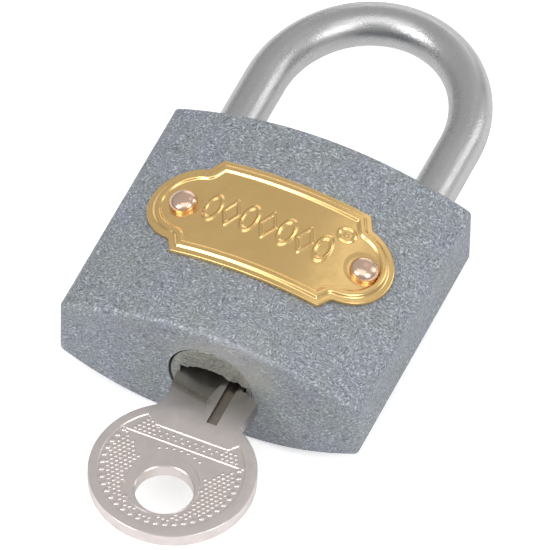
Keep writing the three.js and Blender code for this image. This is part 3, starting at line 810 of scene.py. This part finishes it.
# Dots and beads: pitch and radii; the field above PLAIN_Y is left without dots.
DOT_PITCH = 0.6
DOT_ROW = 0.55
DOT_RADIUS = 0.23
BEAD_RADIUS = 0.34
TICK_RADIUS = 0.2
CHAIN_RADIUS = 0.22
PLAIN_Y = -30.1
DOT_SIDES = 10
DOT_HEIGHTS = (-0.05, 0.04, 0.105, 0.135)
DOT_WIDTHS = (1.15, 1.0, 0.62)

KEY_NICKEL = (0.85, 0.775, 0.745)
# A darker tone for patches and for the neck and blade, and a brown for painted shade in the groove and
# along the wheel's run-out.
KEY_DARKER_TONE = (0.36, 0.335, 0.315)
KEY_SHADE_BROWN = (0.22, 0.185, 0.15)
KEY_SCUFF = (0.72, 0.69, 0.66)


def arc(x, y, radius, first, last, count):
    """Points round a circle from one angle to another."""
    angle = np.linspace(first, last, count)
    return np.column_stack([x + radius * np.cos(angle), y + radius * np.sin(angle)])


def key_outline():
    """The key's edge, anticlockwise from the blade's tip: the cut edge in rising steps down
    to the shoulder, the bow's arc, and back up the plain edge."""
    points = [(BLADE_RIGHT - 0.05, BLADE_TIP - 1.2), (2.4, BLADE_TIP), (0.6, BLADE_TIP)]
    points.append((BLADE_LEFT + 5 * CUT_STEP, BLADE_TIP - 1.0))
    for index in range(len(PIN_YS) - 1, -1, -1):
        step_y = PIN_YS[index] - 1.4
        points.append((BLADE_LEFT + (index + 1) * CUT_STEP, step_y + 0.25))
        points.append((BLADE_LEFT + index * CUT_STEP, step_y - 0.25))
    points += [(BLADE_LEFT, SHOULDER_Y), (-3.6, SHOULDER_Y)]
    points += [(-3.6, -17.7), (-3.15, -20.2), (-3.2, -21.4)]
    bow = arc(*BOW, math.radians(126), math.radians(58.5 + 360), 150)
    points = np.vstack([points, bow])
    right = [(6.5, -21.9), (6.95, -18.6), (6.95, -17.9), (5.2, SHOULDER_Y), (BLADE_RIGHT, SHOULDER_Y)]
    return np.vstack([points, right])


def onto_face(piece, face):
    """Turns a piece drawn about Z 0 over for the back face, and lifts it to MID_Z."""
    if face < 0:
        piece.data.transform(Matrix.Scale(-1, 4, (0, 0, 1)))
        close_up(piece)
    piece.data.transform(Matrix.Translation((0, 0, MID_Z * MM)))
    return piece


def coined_field(face):
    """The cutter for the sunk field of one face: the coined circle, closed by a straight
    line by the neck, with sloped walls, less the land round the ring hole."""
    x, y, radius = COINED
    half = radius * math.cos(math.asin((BAND[1] - y) / radius))
    ends = math.asin((BAND[1] + 1.05 - y) / radius)
    sweep = arc(x, y, radius, math.pi - ends, 2 * math.pi + ends, 120)
    corners = [(x + half - BAND_INSET[1], BAND[1]), (x - half + BAND_INSET[0], BAND[1])]
    outline = np.vstack([sweep, corners])
    floor, outside = KEY_HALF - COINED_DEPTH, KEY_HALF + 0.5
    levels = [(floor, -0.05), (KEY_HALF, 0.07), (outside, 0.57)]
    field = layered("field", outline, levels)
    land = arc(*RING_LAND, 0, 2 * math.pi, 81)[:-1]
    levels = [(floor - 1, 0.08), (floor, 0.05), (KEY_HALF, -0.05), (outside + 1, -0.05)]
    cut_away(field, [layered("land", land, levels)])
    return onto_face(field, face)


def dot_places():
    """Centres and sizes of the dots and beads of one face: close rows of dots over the
    field and the ends of the band, a ring of beads inside the rim, and ticks in the band."""
    columns, rows = np.meshgrid(np.arange(-16, 17), np.arange(-2, 19))
    x = COINED[0] + DOT_PITCH * (columns + 0.5 * (rows % 2))
    y = BAND[0] - 1.0 - DOT_ROW * rows
    from_bow = np.hypot(x - BEADS[0], y - BEADS[1])
    from_land = np.hypot(x - RING_LAND[0], y - RING_LAND[1])
    band = y > BAND[0] - 0.3
    plain = (y > PLAIN_Y) & (np.abs(x - COINED[0]) < 6.1 - 0.8 * (-28.3 - y))
    keep = (from_bow < BEADS[2] - 0.42) & (from_land > RING_LAND[2] + 0.22) & ~plain & ~band
    dots = np.column_stack([x[keep], y[keep], np.full(keep.sum(), DOT_RADIUS)])
    spots = [(side * (4.3 + DOT_PITCH * i) + 1.9 + 0.3 * (j % 2), -25.2 - DOT_ROW * j)
             for side in (-1, 1) for i in range(5) for j in range(4)]
    ends = [(*e, DOT_RADIUS) for e in spots if math.dist(e, COINED[:2]) < COINED[2] - 0.7]
    ring = arc(*BEADS, 0, 2 * np.pi, BEAD_COUNT + 1)[:-1]
    ring = ring[ring[:, 1] < BAND[0] - 0.2]
    beads = np.column_stack([ring, np.full(len(ring), BEAD_RADIUS)])
    ticks = [(1.9 + 0.45 * i, -26.45 + 0.28 * (-1) ** i, TICK_RADIUS) for i in range(-8, 9)]
    x, y, radius = RING_LAND
    chain = arc(x, y, radius + 1.15, math.radians(62), math.radians(118), 7)
    chain = np.column_stack([chain, np.full(len(chain), CHAIN_RADIUS)])
    return np.vstack([dots, ends, beads, ticks, chain])


def make_dots(face):
    """Low round domes, one for each place, set a little into the field's floor."""
    floor = KEY_HALF - COINED_DEPTH
    circle = arc(0, 0, 1, 0, 2 * np.pi, DOT_SIDES + 1)[:-1]
    ring = np.arange(DOT_SIDES)
    points, faces = [], []
    for x, y, radius in dot_places():
        start = len(points)
        for height, width in zip(DOT_HEIGHTS, DOT_WIDTHS):
            z = MID_Z + face * (floor + height)
            points += [(x + radius * width * c, y + radius * width * s, z) for c, s in circle]
        points.append((x, y, MID_Z + face * (floor + DOT_HEIGHTS[-1])))
        faces += ring_walls(start + np.arange(3 * DOT_SIDES).reshape(3, -1))
        last = start + 2 * DOT_SIDES + ring
        faces += [(a, b, start + 3 * DOT_SIDES) for a, b in zip(last, np.roll(last, -1))]
        faces.append((start + ring)[::-1].tolist())
    return close_up(mesh_piece("key_dots", points, faces))


def make_rib(face):
    """The low straight rib across the coined field, below the band."""
    reach = math.sqrt((COINED[2] - 0.1) ** 2 - (BAND[0] - COINED[1]) ** 2)
    left, right = COINED[0] - reach, COINED[0] + reach
    low, high = BAND[0] - 0.14, BAND[0] + 0.14
    line = ((left, low), (right, low), (right, high), (left, high))
    floor = KEY_HALF - COINED_DEPTH
    levels = [(floor - 0.03, 0.0), (floor + 0.04, 0.0), (floor + 0.1, -0.09)]
    return onto_face(layered("key_rib", line, levels), face)


def make_key():
    """The blank with softened edges, then punched, coined, grooved and milled."""
    soft = 0.14
    steps = [(1 - math.cos(t), 1 - math.sin(t)) for t in np.linspace(0, math.pi / 2, 4)]
    low = [(MID_Z - KEY_HALF + soft * up, -soft * inset) for up, inset in steps]
    high = [(MID_Z + KEY_HALF - soft * up, -soft * inset) for up, inset in steps[::-1]]
    blank = layered("key_blank", key_outline(), low + high)
    x, y, radius = RING_HOLE
    flare = [(0, -1), (radius + 1.12, -1), (radius, 0.12), (radius, 2 * KEY_HALF - 0.12)]
    flare += [(radius + 1.12, 2 * KEY_HALF + 1), (0, 2 * KEY_HALF + 1)]
    cutters = [turned_piece("ring_hole", flare, (x, y, MID_Z - KEY_HALF), (0, 0, 1), 96)]
    left, right = GROOVE_X
    groove = ((left, GROOVE_END), (right, GROOVE_END), (right, 3), (left, 3))
    top = MID_Z + KEY_HALF
    cutters.append(layered("groove", groove, [(top - 0.5, -0.05), (top + 1, 0.1)]))
    run_out = [(0, 0), (WHEEL, 0), (WHEEL, WHEEL_WIDE), (0, WHEEL_WIDE)]
    start = (*WHEEL_START, top + WHEEL - WHEEL_DEEP)
    cutters.append(turned_piece("wheel", run_out, start, WHEEL_AXIS, 240))
    cutters += [coined_field(1), coined_field(-1)]
    cut_away(blank, cutters)
    return blank


def make_key_metal():
    """Worn satin nickel: warm grey and finely scuffed, darker from the bow towards the blade,
    with brown painted shade in the groove and in a band along the milling wheel's run-out by the
    keyway."""
    material, tree, shader, place = new_material("key_nickel", 1.0, 0.3)
    grain = noise(tree, place, 6500.0, 3.0, 0.6)
    scuffs = scratches(tree, place, 2200.0, 0.5, (1.0, 0.3, 1.0), (0, 0, 0.5))
    cloud = patches(tree, place, 420.0, 0.25)
    parts = node(tree, "ShaderNodeSeparateXYZ", {"Vector": place}).outputs
    base = blend(tree, product(tree, cloud, 0.22), KEY_NICKEL, KEY_DARKER_TONE)
    # Darker from the bow towards the blade.
    base = blend(tree, between(tree, parts["Y"], -0.0245, -0.0185, 0.0, 0.92), base, KEY_DARKER_TONE)
    # Painted shade: the milled groove darkened brown below the key's top face.
    near = math_node(tree, "ABSOLUTE", math_node(tree, "SUBTRACT", parts["X"], 0.0033))
    inside = between(tree, near, 0.00062, 0.00067, 1.0, 0.0)
    sunk = between(tree, parts["Z"], 0.00880, 0.00895, 1.0, 0.0)
    upper = between(tree, parts["Y"], -0.0230, -0.0227, 0.0, 1.0)
    base = blend(tree, product(tree, inside, sunk, upper, 0.8), base, KEY_SHADE_BROWN)
    # Painted shadow: a brown band along the line where the milling wheel ran out across the neck, left
    # of the groove, broken up by the patches.
    scoop = total(tree, total(tree, parts["Y"], product(tree, parts["X"], 0.185)), 0.01975)
    scoop = math_node(tree, "ABSOLUTE", scoop)
    left = between(tree, parts["X"], 0.0016, 0.0024, 1.0, 0.0)
    runout_shadow = product(tree, between(tree, scoop, 0.0001, 0.0007, 0.6, 0.0), left)
    runout_shadow = product(tree, runout_shadow, between(tree, cloud, 0.0, 1.0, 0.5, 1.0))
    base = blend(tree, runout_shadow, base, KEY_SHADE_BROWN)
    base = blend(tree, product(tree, scuffs["Mask"], 0.3), base, KEY_SCUFF)
    rough = total(tree, between(tree, cloud, 0.0, 1.0, 0.24, 0.34), product(tree, grain, 0.08))
    height = total(tree, grain, product(tree, scuffs["Height"], 0.6))
    dress(tree, shader, base, rough, height, 0.22, 0.00004)
    return material


key_metal = make_key_metal()
key = make_key()
smooth(key, 25)
finish_piece(key, "key", "key_nickel", key_metal, "key")
for face, end in ((1, "front"), (-1, "back")):
    rib = make_rib(face)
    rib.name = f"key_rib_{end}"
    finish_piece(rib, "key", "key_nickel", key_metal, "key")
    dots = make_dots(face)
    dots.name = f"key_dots_{end}"
    smooth(dots, 60)
    finish_piece(dots, "key", "key_nickel", key_metal, "key")

# ----------
# Badge plate: thin gilt brass, pressed with a raised bead inside its edge and a row of
# lozenge outlines, bent to the crown and held by two rivets.
PLATE_Y = 1.0
PLATE_TURN = math.radians(-1.3)
PLATE_WIDTH = 9.45
PLATE_HEIGHT = 7.45
PLATE_NOTCH = (10.5, 5.636)
LOBE_X = 9.65
LOBE_RADIUS = 5.7
PLATE_THICK = 0.42
PLATE_GAP = 0.1
BEAD_INSET = 1.2
BEAD_HALF = 0.58
BEAD_HIGH = 0.295
BEAD_RAMP = 0.62
RIVET_HOLE = 1.15
# The row of ovals and lozenges: pitch, half sizes, middle height and line; then the ringed
# dot's place, ring and dot; then the dish pressed down round each rivet.
ORNAMENT_PITCH = 2.35
ORNAMENT_SHIFT = -0.4
ORNAMENT_Y = 0.1
OVAL_HALF = (0.85, 1.75)
LOZENGE_HALF = (0.95, 1.9)
ORNAMENT_LINE = 0.31
ORNAMENT_HIGH = 0.23
MARK_PLACE = (8.2, 3.4)
MARK_RING = 0.95
DISH_RADIUS = 1.75
DISH_SLOPE = 0.75
DISH_DEEP = 0.09

GILT = (0.93, 0.635, 0.27)
GILT_DEEP = (0.60, 0.395, 0.125)
GILT_PALE = (0.97, 0.78, 0.43)


def plate_outline():
    """The plate's edge in the plane, anticlockwise: a block with its corners cut, and a round
    lobe at each end."""
    turn = math.asin(PLATE_NOTCH[1] / LOBE_RADIUS)
    right = arc(LOBE_X, 0, LOBE_RADIUS, -turn, turn, 60)
    corners = [PLATE_NOTCH, (PLATE_WIDTH, PLATE_HEIGHT)]
    corners += [(-x, y) for x, y in corners[::-1]]
    below = [(-x, -y) for x, y in corners]
    return np.vstack([right, corners, -right, below])


def plate_reach(x):
    """Half height of the plate at a distance from its middle."""
    x = np.abs(x)
    lobe = np.sqrt(np.maximum(LOBE_RADIUS ** 2 - (x - LOBE_X) ** 2, 0))
    slant = np.interp(x, (PLATE_WIDTH, PLATE_NOTCH[0]), (PLATE_HEIGHT, PLATE_NOTCH[1]))
    return np.where(x > PLATE_NOTCH[0], lobe, slant)


def from_lines(x, y, line):
    """Distance of each point from the nearest part of a closed line through corners."""
    starts = np.asarray(line, float)
    ends = np.roll(starts, -1, axis=0)
    nearest = np.full(np.shape(x), np.inf)
    for start, end in zip(starts, ends):
        run = end - start
        share = ((x - start[0]) * run[0] + (y - start[1]) * run[1]) / max(run @ run, 1e-12)
        share = np.clip(share, 0, 1)
        gap = np.hypot(x - start[0] - share * run[0], y - start[1] - share * run[1])
        nearest = np.minimum(nearest, gap)
    return nearest


def swell(distance, half, ramp=1.0):
    """A ridge, 1 high and 0 from half a width outwards; its flanks are nearly straight and
    take up a share of the half width."""
    share = np.clip((half - distance) / (half * ramp), 0, 1)
    return share - 0.4 * np.sin(2 * np.pi * share) / (2 * np.pi)


def plate_relief(x, y):
    """Height of the pressing above the flat plate, in the plate's own x and y: the bead, the
    row of ornaments, a ringed dot, and the dishes pressed down round the rivets."""
    edge = from_lines(x, y, plate_outline())
    relief = BEAD_HIGH * swell(np.abs(edge - BEAD_INSET), BEAD_HALF, BEAD_RAMP)
    wide, tall = LOZENGE_HALF
    for index in range(-3, 4):
        middle = ORNAMENT_PITCH * index + ORNAMENT_SHIFT
        if index % 2:
            oval = np.hypot((x - middle) / OVAL_HALF[0], (y - ORNAMENT_Y) / OVAL_HALF[1])
            line = np.abs(oval - 1) * 0.95
        else:
            sides = [(middle + wide, ORNAMENT_Y), (middle, ORNAMENT_Y + tall)]
            sides += [(middle - wide, ORNAMENT_Y), (middle, ORNAMENT_Y - tall)]
            line = from_lines(x, y, sides)
        relief = np.maximum(relief, ORNAMENT_HIGH * swell(line, ORNAMENT_LINE))
    mark = np.hypot(x - MARK_PLACE[0], y - MARK_PLACE[1])
    relief = np.maximum(relief, 0.19 * swell(np.abs(mark - MARK_RING), 0.27))
    relief = np.maximum(relief, 0.12 * swell(mark, 0.45))
    for place_x, place_y in RIVETS.values():
        seat_x = place_x * math.cos(PLATE_TURN) + (place_y - PLATE_Y) * math.sin(PLATE_TURN)
        seat_y = (place_y - PLATE_Y) * math.cos(PLATE_TURN) - place_x * math.sin(PLATE_TURN)
        seat = np.clip((np.hypot(x - seat_x, y - seat_y) - DISH_RADIUS) / DISH_SLOPE, 0, 1)
        relief -= DISH_DEEP * np.cos(seat * np.pi / 2) ** 2
    return relief + 0.004 * rolling(x, y, 4.0, 21)


def make_plate():
    """A sheet: columns across the width, each squeezed between the plate's two edges, in
    two skins joined along the rim, with the rivet holes cut through."""
    span = LOBE_X + LOBE_RADIUS
    ends = span - (span - PLATE_NOTCH[0]) * (1 - np.cos(np.linspace(0, np.pi / 2, 60)))
    middle = np.linspace(-PLATE_NOTCH[0], PLATE_NOTCH[0], 240)
    columns = np.concatenate([-ends, middle[1:-1], ends[::-1]])
    share = np.linspace(-1, 1, 165)
    share = 0.75 * share + 0.25 * np.sin(share * np.pi / 2)
    x = np.repeat(columns[:, None], len(share), axis=1)
    y = plate_reach(x) * share[None, :]
    edge = from_lines(x, y, plate_outline())
    soft = 0.10 * (1 - np.sqrt(1 - np.clip(1 - edge / 0.12, 0, 1) ** 2))
    place_x = x * math.cos(PLATE_TURN) - y * math.sin(PLATE_TURN)
    place_y = x * math.sin(PLATE_TURN) + y * math.cos(PLATE_TURN) + PLATE_Y
    under = front_height(place_x) + PLATE_GAP
    top = under + PLATE_THICK + plate_relief(x, y) - soft
    upper = np.stack([place_x, place_y, top], axis=-1).reshape(-1, 3)
    lower = np.stack([place_x, place_y, under], axis=-1)[:, [0, -1]].reshape(-1, 3)
    index = np.arange(x.size).reshape(x.shape)
    below = x.size + np.arange(len(lower)).reshape(-1, 2)
    walls = [
        (index[:-1, :-1], index[1:, :-1], index[1:, 1:], index[:-1, 1:]),
        (below[:-1, 0], below[:-1, 1], below[1:, 1], below[1:, 0]),
        (index[:-1, 0], below[:-1, 0], below[1:, 0], index[1:, 0]),
        (index[:-1, -1], index[1:, -1], below[1:, 1], below[:-1, 1]),
    ]
    faces = np.vstack([np.stack(wall, axis=-1).reshape(-1, 4) for wall in walls]).tolist()
    sheet = close_up(mesh_piece("badge", np.vstack([upper, lower]), faces))
    cutters = []
    for place in RIVETS.values():
        start, out = on_crown(place, -1)
        cutters.append(drill(RIVET_HOLE, start, start + 3.5 * out, 0.0, 48))
    cut_away(sheet, cutters)
    return sheet


def make_gilt():
    """Gilt pressed brass: a satin golden skin with fine rolling lines along the plate and
    deeper colour in soft patches."""
    material, tree, shader, place = new_material("gilt_brass", 1.0, 0.25)
    lines = scratches(tree, place, 3000.0, 0.5, (0.16, 1.0, 0.3))
    cloud = patches(tree, place, 300.0, 0.3)
    grain = noise(tree, place, 7000.0, 2.0)
    base = blend(tree, product(tree, cloud, 0.25), GILT, GILT_DEEP)
    base = blend(tree, product(tree, lines["Mask"], 0.22), base, GILT_PALE)
    rough = between(tree, cloud, 0.0, 1.0, 0.2, 0.28)
    height = total(tree, product(tree, lines["Height"], 0.6), grain)
    dress(tree, shader, base, rough, height, 0.16, 0.00003)
    return material


gilt_brass = make_gilt()
badge = make_plate()
smooth(badge, 50)
finish_piece(badge, "case", "brass", gilt_brass, "badge_plate")

# ----------
# Rivets: copper pins through the plate's lobes, with bright domed heads, set square to
# the crown.
RIVET_HEAD = 1.72
RIVET_SHANK = 1.0
HEAD_FOOT = 0.42
HEAD_HIGH = 1.18
HEAD_SKIRT = 0.14
RIVET_DEEP = 3.5

COPPER = (0.83, 0.60, 0.46)
COPPER_DULL = (0.70, 0.45, 0.32)


def make_rivet(name, place):
    """A shank, a small flat under the head and a dome that is a little fuller than round."""
    start, out = on_crown(place, -RIVET_DEEP)
    foot = RIVET_DEEP + HEAD_FOOT
    turn = np.linspace(0, np.pi / 2, 22)
    rise = foot + HEAD_SKIRT + (HEAD_HIGH - HEAD_SKIRT) * np.sin(turn)
    dome = np.column_stack([RIVET_HEAD * np.cos(turn) ** 0.9, rise])
    dome[-1, 0] = 0
    profile = [(0, 0), (RIVET_SHANK - 0.1, 0), (RIVET_SHANK, 0.1), (RIVET_SHANK, foot)]
    profile += [(RIVET_HEAD - 0.08, foot), (RIVET_HEAD, foot + 0.07), *dome.tolist()]
    return turned_piece(name, profile, start, out, 64)


def make_copper():
    """Polished copper with a faintly dulled, freckled skin."""
    material, tree, shader, place = new_material("rivet_copper", 1.0, 0.2)
    cloud = patches(tree, place, 900.0, 0.2)
    base = blend(tree, product(tree, cloud, 0.3), COPPER, COPPER_DULL)
    rough = between(tree, cloud, 0.0, 1.0, 0.18, 0.28)
    dress(tree, shader, base, rough, noise(tree, place, 3800.0, 2.0), 0.12, 0.00005)
    return material


rivet_copper = make_copper()
for side, place in RIVETS.items():
    rivet = make_rivet(f"rivet_{side}_dome", place)
    smooth(rivet, 40)
    finish_piece(rivet, "case", "copper", rivet_copper, f"rivet_{side}")

# ----------
# Plugs and cross pins: iron plugs close the drilled ends of the pin and bolt chambers, and
# steel pins hold the cylinder and the shackle. All are driven in and ground flush.
CHAMBER_PLUG = (1.17, 2.6)
BOLT_PLUG = (2.57, 3.0)

STEEL = (0.52, 0.525, 0.53)
STEEL_DARK = (0.30, 0.30, 0.31)
BRASS = (0.72, 0.53, 0.24)
BRASS_DARK = (0.50, 0.34, 0.13)


def make_tooled(name, roughness, colours, squeeze, marks, rough, depth):
    """A plain machined metal with fine tool marks: ground steel and turned brass. Marks are
    their rate, amount and share of the darker colour; rough is the range of roughness."""
    material, tree, shader, place = new_material(name, 1.0, roughness)
    rate, amount, share = marks
    lines = scratches(tree, place, rate, amount, squeeze)
    base = blend(tree, product(tree, lines["Mask"], share), *colours)
    rough = between(tree, lines["Mask"], 0.0, 1.0, *rough)
    dress(tree, shader, base, rough, lines["Height"], depth, 0.00004)
    return material


ground_steel = make_tooled(
    "ground_steel", 0.33, (STEEL, STEEL_DARK), (0.3, 1.0, 1.0), (3200.0, 0.4, 0.35), (0.3, 0.42), 0.15)
turned_brass = make_tooled(
    "turned_brass", 0.27, (BRASS, BRASS_DARK), (1.0, 0.2, 0.2), (4200.0, 0.5, 0.4), (0.24, 0.36), 0.12)


def make_peg(name, size, edge, start, along, sides):
    """A straight peg of a radius and length, with a small chamfer where it starts."""
    radius, length = size
    profile = [(0, 0), (radius - edge, 0), (radius, edge), (radius, length), (0, length)]
    peg = turned_piece(name, profile, start, along, sides)
    smooth(peg)
    return peg


for index, y in enumerate(PIN_YS, start=1):
    place = (-HALF_WIDTH, y, MID_Z)
    stopper = make_peg(f"pin_stopper_{index}", CHAMBER_PLUG, 0.05, place, (1, 0, 0), 32)
    finish_piece(stopper, "case", "cast_iron", iron_enamel, f"chamber_plug_{index}")

place = (-HALF_WIDTH, BOLT_Y, MID_Z)
stopper = make_peg("bolt_stopper", BOLT_PLUG, 0.06, place, (1, 0, 0), 48)
finish_piece(stopper, "case", "cast_iron", iron_enamel, "bolt_chamber_plug")

for name, (x, y) in CROSS_PINS.items():
    low = float(back_height(x)) + 0.03
    size = (CROSS_PIN_RADIUS, CROSS_PIN_END - low)
    cross_pin = make_peg(name.replace("_retaining", "_cross"), size, 0.08, (x, y, low), (0, 0, 1), 32)
    finish_piece(cross_pin, "case", "steel", ground_steel, name)

# ----------
# Bolt, springs and pins inside: carried over from the frame as they are, in steel and
# turned brass.
INNER_FINISH = dict.fromkeys(("locking_bolt", "bolt_spring", "shackle_spring"), ground_steel)
for index in range(1, len(PIN_YS) + 1):
    INNER_FINISH[f"key_pin_{index}"] = turned_brass
    INNER_FINISH[f"driver_pin_{index}"] = turned_brass
    INNER_FINISH[f"pin_spring_{index}"] = ground_steel
for name, finish in INNER_FINISH.items():
    inner = bpy.data.objects[name]
    for slot in inner.material_slots:
        slot.material = finish

# ----------
# Table: a matt white board that glows a little, so that the shadow on it stays pale.
TABLE_HALF = 3000
TABLE_Z = -0.05
TABLE_GLOW = 0.5
TABLE_MIRRORED = 0.28
TABLE_PAINT = ((0.88, 0.88, 0.885), (0.92, 0.92, 0.92))
TABLE_UNSEEN = (0.74, 0.74, 0.75)


def make_table_white():
    """Matt white paint with a faint tooth; it shows darker in the metal than to the eye."""
    material, tree, shader, place = new_material("white_table", 0.0, 0.8)
    tooth = noise(tree, place, 900.0, 2.0)
    ray = node(tree, "ShaderNodeLightPath").outputs
    seen = ray["Is Camera Ray"]
    paint = blend(tree, tooth, *TABLE_PAINT)
    tree.links.new(blend(tree, seen, TABLE_UNSEEN, paint), shader.inputs["Base Color"])
    shader.inputs["Emission Color"].default_value = (1.0, 1.0, 1.0, 1.0)
    mirrored = product(tree, ray["Is Glossy Ray"], TABLE_MIRRORED)
    glow = total(tree, product(tree, seen, TABLE_GLOW), mirrored)
    tree.links.new(glow, shader.inputs["Emission Strength"])
    return material


board = [(-TABLE_HALF, -TABLE_HALF, TABLE_Z), (TABLE_HALF, -TABLE_HALF, TABLE_Z)]
board += [(TABLE_HALF, TABLE_HALF, TABLE_Z), (-TABLE_HALF, TABLE_HALF, TABLE_Z)]
table = mesh_piece("table", board, [(0, 1, 2, 3)])
table.data.materials.append(make_table_white())
